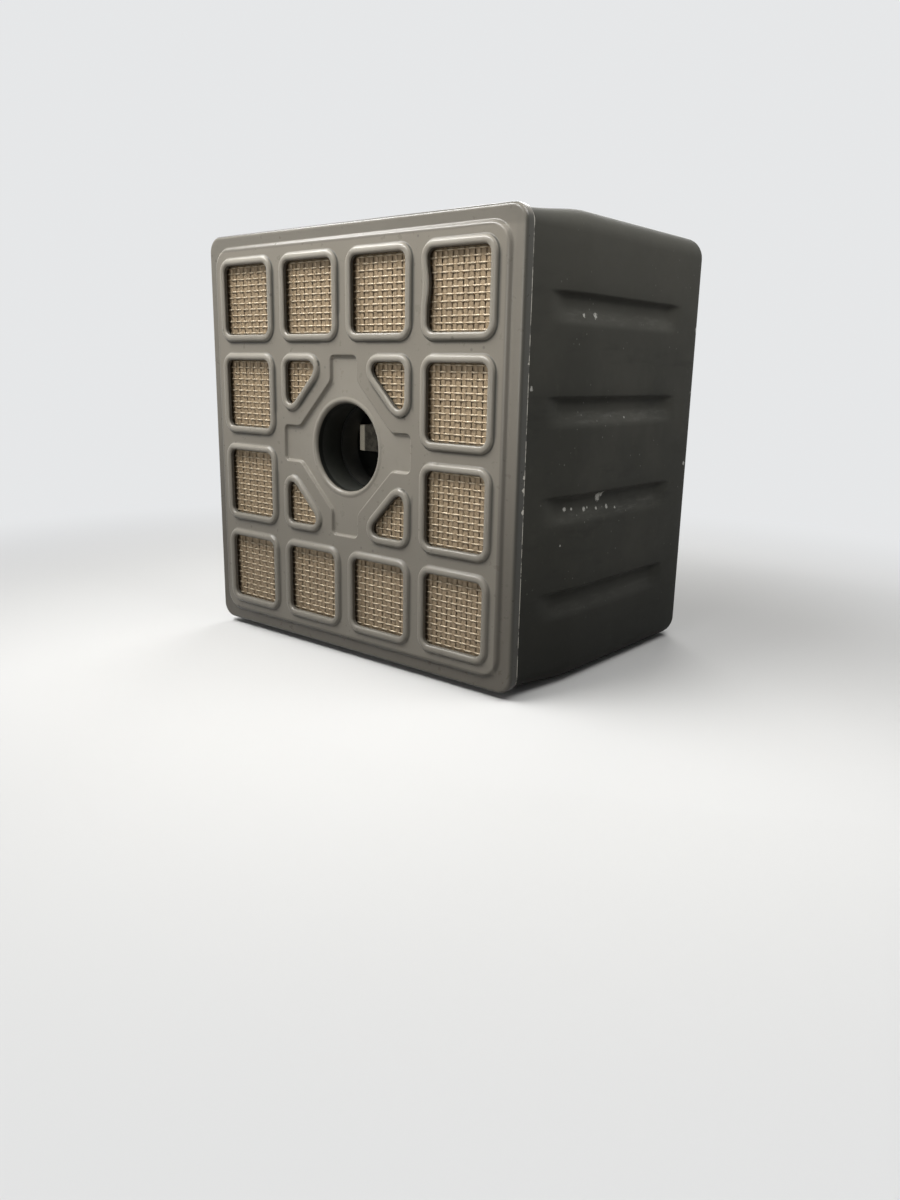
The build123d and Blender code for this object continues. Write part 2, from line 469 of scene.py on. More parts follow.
class Paint(Nodes):
    """The nodes of one material, from the surface's own coordinates, in millimetres, to its shader."""

    def __init__(self, name: str, **fixed: float) -> None:
        """Starts a material; `fixed` are shader sockets that are the same all over it."""
        self.material = bpy.data.materials.new(name)
        self.material.use_nodes = True
        super().__init__(self.material.node_tree)
        self.tree.nodes.clear()
        self.shader = self.add("ShaderNodeBsdfPrincipled", {}, {
            key.replace("_", " "): value for key, value in fixed.items()})
        self.output = self.add("ShaderNodeOutputMaterial", {}, {"Surface": self.shader.outputs[0]})
        self.place = self.add("ShaderNodeTexCoord", {}, {}).outputs["Object"]
        axes = self.add("ShaderNodeSeparateXYZ", {}, {0: self.place}).outputs
        self.x, self.y, self.z = (Level(self, axis) * (1 / MM) for axis in axes)

    def noise(self, size: float, detail: float = 2.0, rough: float = 0.5,
              stretch: Point = (1, 1, 1)) -> Level:
        """Cloudy noise from 0 to 1 with features about `size` long, stretched by axis."""
        place = self.add("ShaderNodeMapping", {}, {"Vector": self.place, "Scale": stretch}).outputs[0]
        return Level(self, self.add("ShaderNodeTexNoise", {}, {
            "Vector": place, "Scale": 1 / (size * MM), "Detail": detail, "Roughness": rough}).outputs[0])

    def cells(self, size: float) -> Level:
        """Distance to the nearest of many scattered points about `size` apart, as a share of it."""
        return Level(self, self.add("ShaderNodeTexVoronoi", {}, {
            "Vector": self.place, "Scale": 1 / (size * MM)}).outputs[0])

    def off(self, point: Point, axes: Point = (1, 1, 1)) -> Level:
        """Distance from a point of the canister, along the given axes only."""
        kept = self.add("ShaderNodeVectorMath", {"operation": "MULTIPLY"}, {0: self.place, 1: axes})
        return Level(self, self.add("ShaderNodeVectorMath", {"operation": "DISTANCE"}, {
            0: kept.outputs[0], 1: [way * axis * MM for way, axis in zip(point, axes)]
        }).outputs["Value"]) * (1 / MM)

    def depth(self) -> Level:
        """Depth behind the cover's rim plane."""
        return self.y - RIM_Y

    def outness(self) -> Level:
        """How far the surface is from the bore's axis, measured square to the nearest wall."""
        return abs(self.x).larger(abs(self.z - MIDDLE_Z))

    def reach(self) -> Level:
        """Distance from the bore's axis."""
        return self.off((0, 0, MIDDLE_Z), (1, 0, 1))

    def chips(self, spots: Iterable[Chip], ragged: Level, axes: Point = (1, 1, 1)) -> Level:
        """A mask of chips.

        Args:
            spots: each chip's place and its radius.
            ragged: noise that breaks the chips' edges.
            axes: the axes along which a chip is bounded.

        Returns:
            The mask.
        """
        mask = None
        for x, y, z, radius in spots:
            jagged = self.off((x, y, z), axes) + (ragged - 0.5) * (radius * 2.6)
            chip = jagged.between(radius, radius * 0.75)
            mask = chip if mask is None else mask.larger(chip)
        return mask

    def blend(self, amount: Level | float, first: object, second: object) -> bpy.types.NodeSocket:
        """A colour that goes from the first to the second."""
        first, second = ((*each, 1.0) if isinstance(each, tuple) else each for each in (first, second))
        return self.add("ShaderNodeMix", {"data_type": "RGBA", "clamp_factor": True}, {
            0: amount, 6: first, 7: second}).outputs[2]

    def coats(self, colour: Colour, *coats: tuple[Level, Colour]) -> bpy.types.NodeSocket:
        """A colour under coats, each a mask and the colour that shows where the mask is 1."""
        for mask, coat in coats:
            colour = self.blend(mask, colour, coat)
        return colour

    def relief(self, height: Level, depth: float, under: object = None) -> bpy.types.NodeSocket:
        """A bump `depth` high, on top of another one if it is given."""
        inputs = {"Height": height, "Distance": depth * MM, "Strength": 1.0}
        if under is not None:
            inputs["Normal"] = under
        return self.add("ShaderNodeBump", {}, inputs).outputs[0]

    def finish(self, colour: object, roughness: object, normal: object = None,
               metallic: object = None) -> bpy.types.Material:
        """Links what varies to the shader and gives the material."""
        for name, value in (("Base Color", colour), ("Roughness", roughness), ("Normal", normal),
                            ("Metallic", metallic)):
            socket = value.socket if isinstance(value, Level) else value
            if isinstance(socket, bpy.types.NodeSocket):
                self.tree.links.new(socket, self.shader.inputs[name])
            elif socket is not None:
                self.shader.inputs[name].default_value = socket
        return self.material


@dataclass(frozen=True)
class CoverPaint:
    """Warm grey satin paint on the pressed cover, scuffed, with a worn line along its lap, and painted shade,
    painted highlights and a painted glint over its relief.
    """

    paint: Colour = (0.272, 0.248, 0.206)
    tone_and_shade: Colour = (0.218, 0.197, 0.161)
    darker_and_shade: Colour = (0.145, 0.133, 0.110)
    painted_highlight: Colour = (0.470, 0.440, 0.380)
    grime_and_shade: Colour = (0.080, 0.071, 0.057)
    side: Colour = (0.054, 0.052, 0.042)
    bare: Colour = (0.600, 0.565, 0.490)
    bore: Colour = (0.013, 0.0135, 0.0115)
    # Each mark's x, depth, z and radius: the first is a painted glint on the top right corner, the others are
    # chips
    chipped: tuple[Chip, ...] = (
        (90.4, 0.4, 185.8, 1.5), (-91.2, 0.8, 186.0, 0.8), (92.0, 4.5, 89.3, 1.0), (92.0, 4.0, 84.4, 0.8),
        (92.0, 4.2, 76.1, 0.9), (92.0, 4.4, 131.0, 0.6))

    def material(self) -> bpy.types.Material:
        """Mixes the paint."""
        mix = Paint("cover_paint", Specular_IOR_Level=0.32)
        depth, out = mix.depth(), mix.outness()
        mottle = mix.noise(4, 4, 0.6)
        specks = mix.cells(5.0).between(0.16, 0.1) * mix.noise(15, 2).between(0.52, 0.6)
        # Painted shade, darker towards the bottom
        low = mix.z.between(132, 16)

        # The panel's flat field, and the place within a window's own square, from the window's middle
        field = depth.between(-1.6, -1.53) * depth.between(-1.4, -1.47)
        across, up = (((place - middle) * (1 / WINDOW_PITCH) + 3).fraction() * WINDOW_PITCH - WINDOW_PITCH / 2
                      for place, middle in ((mix.x, 0.0), (mix.z, MIDDLE_Z)))

        # Beyond the slanting sides round the hub, and by the two of them that are over the bore
        aside, off_level = abs(mix.x), abs(mix.z - MIDDLE_Z)
        slant = aside + off_level
        clear = slant.between(48.5, 49.2) * out.between(84, 83)
        above = mix.z.between(MIDDLE_Z + 4, MIDDLE_Z + 8) * abs(aside - off_level).between(14, 8)

        # Painted shade in a boss's foot, most of all right of it and under it, a painted shadow beside the
        # foot, painted shade inside the window, and a painted highlight on the crest above the window
        shaded = across.between(13.5, 17.5).larger(up.between(-13.5, -17.5))
        shaded = shaded.larger(slant.between(46, 45) * above)
        foot = depth.between(-2.2, -1.8) * depth.between(-1.51, -1.56)
        right_of = across.between(17.9, 18.6) * across.between(20.2, 18.9) * abs(up).between(15, 10)
        under = up.between(-17.9, -18.6) * up.between(-20.2, -18.9) * abs(across).between(15, 10)
        beside = right_of.larger(under) * slant.between(56, 59) * clear
        beside = beside.larger(slant.between(45.6, 44.8) * slant.between(42.4, 44.2) * above)
        inside = abs(across).larger(abs(up)).between(15.62, 15.45) * depth.between(-2.35, -2.0)
        inside = inside * clear * (1 - field)
        crest = up.between(15.7, 17.0) * depth.between(-2.4, -3.0) * clear

        # The flat rim, which is painted darker; its top and left sides and its right edge, which get painted
        # shade; and the lap
        rim = out.between(84.0, 84.8)
        left = mix.x.between(-84, -86)
        right = out.between(86.6, 88.4) * mix.x.between(80, 86)
        lap = out.between(90.9, 91.8)
        line = depth.between(4.15, 4.5) * lap * mix.noise(3.0, 3, 0.7).between(0.38, 0.55)
        line = line * (1 - mix.z.between(185.5, 186.2) * 0.8)
        # Bare metal along the worn line and in the chips, and the painted glint on the top right corner
        bare = line.larger(mix.chips([(x, RIM_Y + y, z, radius) for x, y, z, radius in self.chipped],
                                   mix.noise(0.9, 2)))
        bore = mix.reach().between(20.0, 19.4) * depth.between(0.9, 1.5)
        colour = mix.coats(
            self.paint,
            (mix.noise(38, 3).between(0.35, 0.75) * 0.4, self.tone_and_shade),
            (mottle.between(0.5, 0.8) * 0.35, self.tone_and_shade),
            # Painted shade on the panel's flat field between the bosses
            (field * 0.7, self.tone_and_shade),
            # Painted shade in the bosses' feet and inside the windows, and a painted shadow beside the
            # bosses, all in the lap's dark colour
            (foot * (shaded * 0.4 + 0.45), self.side),
            (beside * 0.6, self.side),
            (inside * 0.9, self.side),
            # A painted highlight on each boss's upper crest
            (crest * 0.35, self.painted_highlight),
            # Painted shade, darker towards the bottom
            (low * 0.75, self.darker_and_shade),
            # The rim darker, with painted shade on its top, left and right sides and towards its bottom
            (rim * 0.4, self.darker_and_shade),
            (rim * left.larger(mix.z.between(178, 180)) * 0.55, self.darker_and_shade),
            (rim * left * low * 0.5, self.grime_and_shade),
            (right * 0.3, self.darker_and_shade),
            (rim * low * 0.75, self.grime_and_shade),
            (lap * 0.9, self.side),
            (specks * 0.45, self.grime_and_shade),
            (bare * 0.85, self.bare),
            (bore, self.bore))
        roughness = 0.24 + mottle * 0.1 + foot * 0.15 + inside * 0.4 + bore * 0.15
        waves = mix.relief(mix.noise(24, 1), 0.22)
        return mix.finish(colour, roughness, mix.relief(mix.noise(0.8, 2), 0.010, waves), bare * 0.6)


@dataclass(frozen=True)
class CasePaint:
    """Matt charcoal paint on the can, dusty and chipped to the bare metal, with painted light towards the top
    and painted shade towards the bottom.
    """

    paint: Colour = (0.049, 0.0485, 0.041)
    dust_and_light: Colour = (0.078, 0.075, 0.063)
    powder: Colour = (0.190, 0.186, 0.168)
    dark: Colour = (0.022, 0.022, 0.019)
    bare: Colour = (0.360, 0.352, 0.318)
    # The y, z and radius of each chip on the right-hand wall
    chipped: tuple[Point, ...] = (
        (-22.3, 149.9, 1.3), (-30.5, 149.7, 0.8), (-11.5, 77.4, 1.9), (-9.0, 78.6, 1.2), (-36.0, 74.3, 1.0),
        (-31.4, 74.0, 0.6), (-22.5, 73.2, 1.1), (-20.0, 73.6, 0.6), (-13.0, 72.7, 0.8), (-4.5, 72.6, 1.0),
        (2.3, 71.6, 0.6), (-61.4, 122.0, 1.0), (66.0, 148.5, 1.3), (63.8, 86.8, 1.1), (65.0, 120.0, 0.5),
        (5.0, 110.0, 0.5), (-40.0, 60.0, 0.5))

    def material(self) -> bpy.types.Material:
        """Mixes the paint."""
        mix = Paint("case_paint", Specular_IOR_Level=0.1)
        depth = mix.depth()
        cloud = mix.noise(45, 4, 0.6)
        mottle = mix.noise(6, 4, 0.65)
        streaks = mix.noise(9, 3, 0.6, (1, 0.25, 1))
        specks = mix.cells(4.0).between(0.12, 0.07) * mix.noise(20, 2).between(0.5, 0.58)

        # Powder that lies on the right-hand grooves' lower slopes
        off_level = mix.z - MIDDLE_Z
        slope = ((off_level - GROOVE_PITCH / 2) * (math.tau / GROOVE_PITCH)).sine().between(0.0, -0.45)
        near = abs(abs(abs(off_level) - GROOVE_PITCH) - GROOVE_PITCH / 2).between(7.0, 4.6)
        shelf = slope * near * depth.between(22, 34) * depth.between(120, 104) * mix.x.between(88, 90)
        scratched = mix.noise(3, 3, 0.7, (1, 0.2, 1)).between(0.45, 0.7)

        # Bare metal in the chips and along the rear edge
        worn = mix.chips([(0, *chip) for chip in self.chipped], mix.noise(0.7, 3, 0.85), (0, 1, 1))
        worn = worn * mix.x.between(80, 84)
        edge = depth.between(138.2, 139.4) * mix.outness().between(87.6, 89.0)
        bare = worn.larger(edge * mix.noise(5, 3, 0.7).between(0.6, 0.72) * 0.7)
        colour = mix.coats(
            self.paint,
            (cloud.between(0.4, 0.7) * 0.5, self.dust_and_light),
            (streaks.between(0.5, 0.8) * 0.5, self.dark),
            (mottle.between(0.56, 0.75) * 0.35, self.dust_and_light),
            (specks * 0.6, self.powder),
            (shelf * (cloud.between(0.3, 0.7) * 0.14 + scratched * 0.2), self.powder),
            # Painted light, lighter towards the top
            (mix.z.between(115, 175) * 0.55, self.dust_and_light),
            # Painted shade, darker towards the bottom
            (mix.z.between(72, 6) * 0.92, self.dark),
            (bare, self.bare))
        dents = mix.relief(mix.noise(30, 2), 0.35)
        roughness = 0.58 + mottle * 0.14 - bare * 0.2
        return mix.finish(colour, roughness, mix.relief(mix.noise(0.5, 2), 0.02, dents), bare * 0.5)


@dataclass(frozen=True)
class WireBronze:
    """Tarnished bronze wire, with a painted highlight where it stands proud of the weave, painted light where
    it lies deepest and painted shade towards the bottom.
    """

    metal: Colour = (0.345, 0.257, 0.158)
    tarnish: Colour = (0.24, 0.176, 0.107)
    painted_deep_light: Colour = (0.60, 0.47, 0.32)
    painted_low_shade: Colour = (0.150, 0.114, 0.074)
    painted_highlight: Colour = (0.60, 0.505, 0.360)

    def material(self) -> bpy.types.Material:
        """Mixes the metal, by how far the wire lies behind the nearer end face's rim plane."""
        mix = Paint("wire_bronze")
        tarnish = mix.noise(7, 3, 0.6).between(0.42, 0.72)
        fine = mix.noise(0.7, 2)
        sunk = DEPTH / 2 - abs(mix.depth() - DEPTH / 2)
        colour = mix.coats(
            self.metal,
            (tarnish * 0.6, self.tarnish),
            (fine.between(0.5, 0.9) * 0.4, self.tarnish),
            # Painted shade, darker towards the bottom
            (mix.z.between(120, 10) * 0.5, self.painted_low_shade),
            # Painted light on the wire where it lies deepest
            (sunk.between(1.05, 1.3) * 0.4, self.painted_deep_light),
            # A painted highlight where the wire stands proud
            (sunk.between(0.64, 0.46) * 0.7, self.painted_highlight))
        return mix.finish(colour, 0.46 + tarnish * 0.12, mix.relief(fine, 0.01), 0.25 - tarnish * 0.1)


@dataclass(frozen=True)
class FilterFelt:
    """Tan needled felt with matted fibres."""

    wool: Colour = (0.58, 0.45, 0.30)
    deep: Colour = (0.40, 0.30, 0.19)

    def material(self) -> bpy.types.Material:
        """Mixes the felt."""
        mix = Paint("felt_tan", Sheen_Weight=0.2)
        fibres, across = (mix.noise(0.6, 4, 0.7, stretch) for stretch in ((1, 1, 0.35), (0.35, 1, 1)))
        colour = mix.coats(
            self.wool,
            (fibres.between(0.35, 0.7) * 0.7, self.deep),
            (mix.noise(12, 3).between(0.45, 0.75) * 0.35, self.deep))
        return mix.finish(colour, 0.9 + across * 0.08, mix.relief(fibres.larger(across), 0.12))


@dataclass(frozen=True)
class StrapWebbing:
    """Cream cotton webbing, soiled and in painted shade where it lies deepest."""

    cotton: Colour = (0.95, 0.87, 0.69)
    soil_and_shade: Colour = (0.073, 0.065, 0.048)
    pitch: float = 0.9

    def material(self) -> bpy.types.Material:
        """Weaves the webbing from two sets of ribs. Its middle gets soil and painted shade; its bends, seen
        on edge, stay clean.
        """
        mix = Paint("webbing_cream", Sheen_Weight=0.15)
        along, across = ((way * (math.tau / self.pitch)).sine() for way in (mix.x, mix.z))
        rib = along * across * 0.5 + 0.5
        worn = mix.noise(3, 4, 0.65).between(0.35, 0.65) * 0.12 + 0.88
        # Soil and painted shade over the middle, away from the bends
        soil_and_shade = worn * abs(mix.x).between(14.2, 13.2) + mix.noise(2, 3).between(0.5, 0.8) * 0.12
        colour = mix.coats(self.cotton, (soil_and_shade, self.soil_and_shade), ((1 - rib).between(0.5, 1.0) * 0.35, self.soil_and_shade))
        fuzz = mix.noise(0.35, 3, 0.7)
        return mix.finish(colour, 0.82 + fuzz * 0.1, mix.relief(rib + fuzz * 0.4, 0.16))


@dataclass(frozen=True)
class BorePaint:
    """Dark paint of the bore's tube, sleeves and ring, with painted shade on the step behind the front
    sleeve.
    """

    name: str = "bore_paint"
    paint: Colour = (0.030, 0.0310, 0.0265)
    scuff: Colour = (0.050, 0.0495, 0.043)
    step_shade: Colour = (0.008, 0.008, 0.007)

    def material(self) -> bpy.types.Material:
        """Mixes the paint."""
        mix = Paint(self.name, Specular_IOR_Level=0.2)
        scuffs = mix.noise(5, 3, 0.6, (1, 0.3, 1)).between(0.5, 0.75)
        # Painted shade on the step where the front sleeve ends and the ring begins
        step_shade = mix.depth().between(14.6, 14.9) * mix.depth().between(15.5, 15.15)
        colour = mix.coats(self.paint, (scuffs * 0.7, self.scuff), (step_shade, self.step_shade))
        return mix.finish(colour, 0.5 + scuffs * 0.15, mix.relief(mix.noise(0.5, 2), 0.02))


@dataclass(frozen=True)
class RivetAluminium:
    """Dull aluminium with fine scratches."""

    metal: Colour = (0.55, 0.54, 0.51)
    dull: Colour = (0.28, 0.27, 0.25)

    def material(self) -> bpy.types.Material:
        """Mixes the metal."""
        mix = Paint("rivet_aluminium")
        scratches = mix.noise(0.6, 3, 0.7, (1, 4, 0.5))
        colour = mix.coats(self.metal, (scratches.between(0.45, 0.75), self.dull))
        return mix.finish(colour, 0.35 + scratches * 0.2, mix.relief(scratches, 0.01), 0.9)


@dataclass(frozen=True)
class PackedGranules:
    """White absorbent granules, packed tight."""

    grain: Colour = (0.72, 0.71, 0.67)
    gap: Colour = (0.30, 0.29, 0.27)

    def material(self) -> bpy.types.Material:
        """Mixes the granules."""
        mix = Paint("packed_granules")
        cell, tone = mix.cells(2.2), mix.noise(9, 2)
        colour = mix.coats(
            self.grain,
            (cell.between(0.45, 0.8), self.gap),
            (tone.between(0.4, 0.8) * 0.3, self.gap))
        return mix.finish(colour, 0.9 - tone * 0.1, mix.relief(1 - cell, 0.6))


# The end faces


@dataclass
class EndFace:
    """A pressed end face drawn flat: raised panel, windows, sunk hub and the mouth of the bore."""

    name: str
    bossed: bool
    panel_side: float = 174.0
    panel_corner: float = 10.0
    window_side: float = 30.5
    window_corner: float = 3.2
    boss_margin: float = 3.9
    triangle_reach: float = 34.9
    hub_arm_half: float = 8.7
    hub_arm_reach: float = 39.5
    hub_diagonal: float = 26.3
    hub_corner: float = 3.0
    hub_limit: float = 60.0
    boss_press: Profile = (
        (0, 0), (0.2, 0), (0.4, 0.03), (0.6, 0.13), (0.8, 0.34), (1.0, 0.63), (1.2, 0.92), (1.42, 1.17),
        (1.7, 1.36), (2.05, 1.46), (2.45, 1.5), (2.85, 1.49), (3.2, 1.43), (3.5, 1.31), (3.76, 1.11),
        (3.95, 0.85), (4.07, 0.52), (4.1, 0.15), (4.12, -0.7))
    edge_press: Profile = (
        (0, 0), (0.2, 0), (0.5, -0.05), (0.8, -0.18), (1.05, -0.4), (1.25, -0.72), (1.36, -1.1),
        (1.4, -1.5), (1.42, -2.0))
    panel_press: Profile = (
        (0, 0), (0.2, 0), (0.42, 0.03), (0.66, 0.14), (0.9, 0.35), (1.12, 0.64), (1.34, 0.94), (1.6, 1.2),
        (1.9, 1.38), (2.25, 1.47), (2.6, 1.5), (2.8, 1.5))
    hub_press: Profile = (
        (0, 0), (0.2, 0), (0.42, -0.05), (0.62, -0.24), (0.8, -0.58), (0.95, -0.92), (1.13, -1.26),
        (1.35, -1.45), (1.6, -1.5), (1.8, -1.5))
    lip_press: Profile = (
        (0, 0), (0.25, 0.02), (0.55, 0.1), (0.85, 0.22), (1.15, 0.31), (1.45, 0.34), (1.75, 0.3),
        (2.05, 0.18), (2.35, -0.03), (2.6, -0.32), (2.8, -0.68), (2.93, -1.1), (3.0, -1.6), (3.01, -3.5))

    @property
    def window_press(self) -> Profile:
        """The profile round a window."""
        return self.boss_press if self.bossed else self.edge_press

    @property
    def spread(self) -> float:
        """How far outside its opening a window's profile starts."""
        return (self.boss_margin if self.bossed else self.edge_press[-1][0] - 2 * EASE) + EASE

    def window(self) -> Workpiece:
        """A square window in the middle of the face, at the panel's height."""
        piece = Workpiece.drawn("window", square(self.window_side + 2 * self.spread, PANEL_RISE))
        piece.round_corners(self.window_corner + self.spread)
        return piece.press(self.window_press)

    def triangle(self) -> Workpiece:
        """The window right of and above the bore, which the hub cuts to a triangle."""
        far = (WINDOW_PITCH + self.window_side) / 2 + self.spread
        near = (self.triangle_reach - self.spread) * math.sqrt(2) - far
        points = [(x, y, PANEL_RISE) for x, y in ((far, near), (far, far), (near, far))]
        piece = Workpiece.drawn("triangle", points)
        radius = self.window_corner + self.spread
        piece.round_corners(radius, lambda corner: min(spot(corner).xy) > far - NEAR)
        piece.round_corners(radius / EIGHTH, lambda corner: min(spot(corner).xy) < near + NEAR,
                            profile=SHARP_ROUND)
        return piece.press(self.window_press)

    def hub(self) -> Workpiece:
        """The sunk cross round the bore."""
        arm, reach = self.hub_arm_half, self.hub_arm_reach
        inner = self.hub_diagonal * math.sqrt(2) - arm
        quarter = [Vector(point) for point in ((reach, -arm), (reach, arm), (inner, arm), (arm, inner))]
        spins = [Matrix.Rotation(turn * math.pi / 2, 2) for turn in range(4)]
        piece = Workpiece.drawn("hub", [(*(spin @ point), PANEL_RISE) for spin in spins for point in quarter])
        piece.round_corners(self.hub_corner, lambda corner: max(map(abs, spot(corner).xy)) > reach - NEAR, 6)
        piece.round_corners(self.hub_corner * EIGHTH, lambda corner: (
            abs(sum(map(abs, spot(corner).xy)) - arm - inner) < NEAR), 4)
        return piece.press(self.hub_press)

    def mouth(self) -> Workpiece:
        """The flared mouth of the bore."""
        piece = Workpiece.drawn("mouth", circle(BORE_RADIUS + self.lip_press[-1][0], 96))
        return piece.press(self.lip_press)

    def panel_edge(self) -> Workpiece:
        """The raised panel's edge."""
        piece = Workpiece.drawn("panel_edge", square(self.panel_side + 2 * EASE))
        piece.round_corners(self.panel_corner + EASE, segments=12)
        return piece.press(self.panel_press)

    def build(self) -> Workpiece:
        """Puts the face together inside its panel's foot, with its flat fields closed."""
        window, triangle = self.window(), self.triangle()
        parts = [window.copy((x, y, 0)) for x, y, cut in windows() if not cut]
        parts += [triangle.copy(turn=turn * math.pi / 2) for turn in range(4)]
        window.discard()
        triangle.discard()
        parts += [self.hub(), self.mouth()]
        face = self.panel_edge()
        face.take_in(parts)
        face.object.name = self.name
        face.open()
        face.fill_between(PANEL_RISE)
        face.fill_between(0, lambda corner: spot(corner).xy.length < self.hub_limit)
        return face.close()


def join_shell(first: Workpiece, second: Workpiece) -> None:
    """Joins an end face and the sides by the flat rim between them, and leaves them open."""
    first.take_in([second])
    first.open()
    first.fill_between(0)
    first.weld()
    first.face_outward((0, 80, PANEL_RISE))


@dataclass
class Cover:
    """The pressed cover with its lap round the can's neck."""

    side: float = 184.0
    corner: float = 7.0
    lap: float = 4.7
    bend: float = 1.6
    # The dent in a boss's left side: the place of its crest and the least height of what is pushed
    dent: Point = (47.75, 64.5, 0.7)
    dent_push: float = 1.05
    dent_spread: float = 8.5
    dent_half: float = 2.5
    crest_half: float = 0.3
    slope: float = 4.4
    straight: float = 20.0

    def rim(self) -> Workpiece:
        """The lap, the bend and the outer edge of the flat rim."""
        piece = Workpiece.drawn("rim", square(self.side, -self.lap))
        piece.round_corners(self.corner, segments=10)
        arc = [math.radians(degrees) for degrees in range(0, 91, 15)]
        bend = [(self.bend * (1 - math.cos(angle)), -self.bend * (1 - math.sin(angle))) for angle in arc]
        return piece.press([(0, -self.lap), *bend, (self.bend + EASE, 0)])

    def press_dent(self, cover: Workpiece) -> None:
        """Divides the boss's straight edges by the dent and pushes its crest inward."""
        x, y, low = self.dent
        cover.pick(Part.EDGES, lambda edge: edge.calc_length() > self.straight * MM and all(
            x - self.slope < spot(corner).x < x + self.crest_half and spot(corner).z > low
            for corner in edge.verts))
        bpy.ops.mesh.subdivide(number_cuts=10)
        cover.pick(Part.CORNERS, lambda corner: (
            abs(spot(corner).x - x) < self.crest_half and abs(spot(corner).y - y) < self.dent_half
            and spot(corner).z > low))
        cover.move((self.dent_push, 0, 0), self.dent_spread)

    def build(self) -> Workpiece:
        """Makes the cover and stands it up."""
        cover = EndFace("cover", bossed=True).build()
        join_shell(cover, self.rim())
        self.press_dent(cover)
        cover.close()
        cover.thicken(SHEET)
        cover.stand(Facing.FRONT)
        return cover

    def dress(self, cover: Workpiece) -> None:
        """Paints the cover and enters it."""
        cover.hand_over("cover_pressed", "front_cover", "cover_metal", CoverPaint().material())


@dataclass
class Can:
    """The drawn can with its grooves, drawn with its rear rim plane at zero."""

    half: float = 94.5
    corner: float = 9.5
    neck_inset: float = 3.4
    neck_end: float = 8.0
    swell_end: float = 42.0
    rear_edge: float = 6.5
    groove_sink: float = 2.1
    groove_start: float = 15.5
    groove_full: float = 29.0
    groove_fade: float = 105.5
    groove_end: float = 119.0
    groove_section: Profile = (
        (-11.0, 0.0), (-5.5, 0.0), (-5.1, 0.03), (-4.8, 0.12), (-4.55, 0.27), (-4.3, 0.46), (-4.05, 0.64),
        (-3.75, 0.79), (-3.35, 0.9), (-2.8, 0.97), (-2.0, 1.0), (-1.0, 0.99), (0.2, 0.94), (1.4, 0.85),
        (2.6, 0.71), (3.7, 0.55), (4.7, 0.38), (5.5, 0.24), (6.2, 0.13), (6.8, 0.055), (7.4, 0.012),
        (8.0, 0.0), (12.0, 0.0))
    # Depths of the wall's cross-sections: the first, those forward of it to the mouth, those behind it
    start: float = 70.0
    forward: tuple[float, ...] = (
        50, 42, 38, 34, 31.5, 29, 27, 25, 23, 21, 19, 17, 15.5, 13.5, 12, 10, 8, 6, 1.4)
    rearward: tuple[float, ...] = (90, 105.5, 107.5, 109.5, 111.5, 113.5, 115.5, 117.5, 119, 126, 133.5)
    edge_angles: tuple[float, ...] = (12, 24, 36, 48, 60, 70, 80, 90)

    def wall_line(self, depth: float) -> float:
        """How far the wall is from the axis at a depth, grooves apart."""
        if depth > DEPTH - self.rear_edge:
            run = depth - DEPTH + self.rear_edge
            return self.half - self.rear_edge + math.sqrt(max(self.rear_edge**2 - run**2, 0.0))
        swell = share(depth, self.neck_end, self.swell_end)
        return self.half - self.neck_inset * (1 - 0.55 * swell - 0.45 * eased(swell))

    def groove_share(self, depth: float) -> float:
        """How much of the groove's sink is reached at a depth."""
        return eased(min(share(depth, self.groove_start, self.groove_full),
                         share(depth, self.groove_end, self.groove_fade)))

    def groove_cell(self, mirrored: bool) -> Workpiece:
        """One groove and the wall beside it, its steep side at -Y or, mirrored, at +Y."""
        section = [(-GROOVE_PITCH / 2, 0.0), *self.groove_section, (GROOVE_PITCH / 2, 0.0)]
        if mirrored:
            section = [(-across, sunk) for across, sunk in reversed(section)]
        piece = Workpiece.drawn("wall", [(0, 0, 0), (1, 0, 0), (0, 1, 0)])
        bpy.ops.mesh.merge(type="CENTER")
        bpy.ops.mesh.select_mode(type="VERT")
        piece.pick_all()
        corner = (self.wall_line(self.start), section[0][0], self.start - DEPTH)
        piece.move(Vector(corner) - spot(piece.mesh().verts[0]))
        for (across, sunk), (next_across, next_sunk) in pairwise(section):
            piece.draw_out(((sunk - next_sunk) * self.groove_sink, next_across - across, 0))
            piece.pick(Part.CORNERS, lambda corner: abs(spot(corner).y - next_across) < NEAR)
        edge = [DEPTH - self.rear_edge * (1 - math.sin(math.radians(angle))) for angle in self.edge_angles]
        for stations in (self.forward, (*self.rearward, *edge)):
            piece.pick_line(2, self.start - DEPTH)
            for last, station in pairwise((self.start, *stations)):
                line = self.wall_line(station)
                piece.draw_out((line - self.wall_line(last), 0, station - last))
                before, after = self.groove_share(last), self.groove_share(station)
                if before != after:
                    bpy.ops.transform.resize(value=(after / before, 1, 1), center_override=(line * MM, 0, 0))
        return piece.close()

    def wall(self, mirrored: bool) -> Workpiece:
        """One wall of four grooves with the rounded corner at its +Y end."""
        wall = self.groove_cell(mirrored)
        wall.repeat(4, (0, GROOVE_PITCH, 0))
        wall.open()
        wall.move((0, -1.5 * GROOVE_PITCH, 0))
        flat = self.half - self.corner
        for sign in (-1, 1):
            wall.pick_line(1, sign * 2 * GROOVE_PITCH)
            wall.draw_out((0, sign * (flat - 2 * GROOVE_PITCH), 0))
        wall.pick_line(1, flat)
        wall.spin((flat, flat, 0), (0, 0, 1))
        return wall.close()

    def walls(self) -> Workpiece:
        """The four walls. On the two upright ones the grooves' steep side is the upper one."""
        right, left = self.wall(mirrored=False), self.wall(mirrored=True)
        copies = [right.copy(turn=math.pi / 2), left.copy(turn=math.pi), left.copy(turn=-math.pi / 2)]
        left.discard()
        right.take_in(copies)
        right.open()
        right.weld(2 * NEAR)
        return right.close()

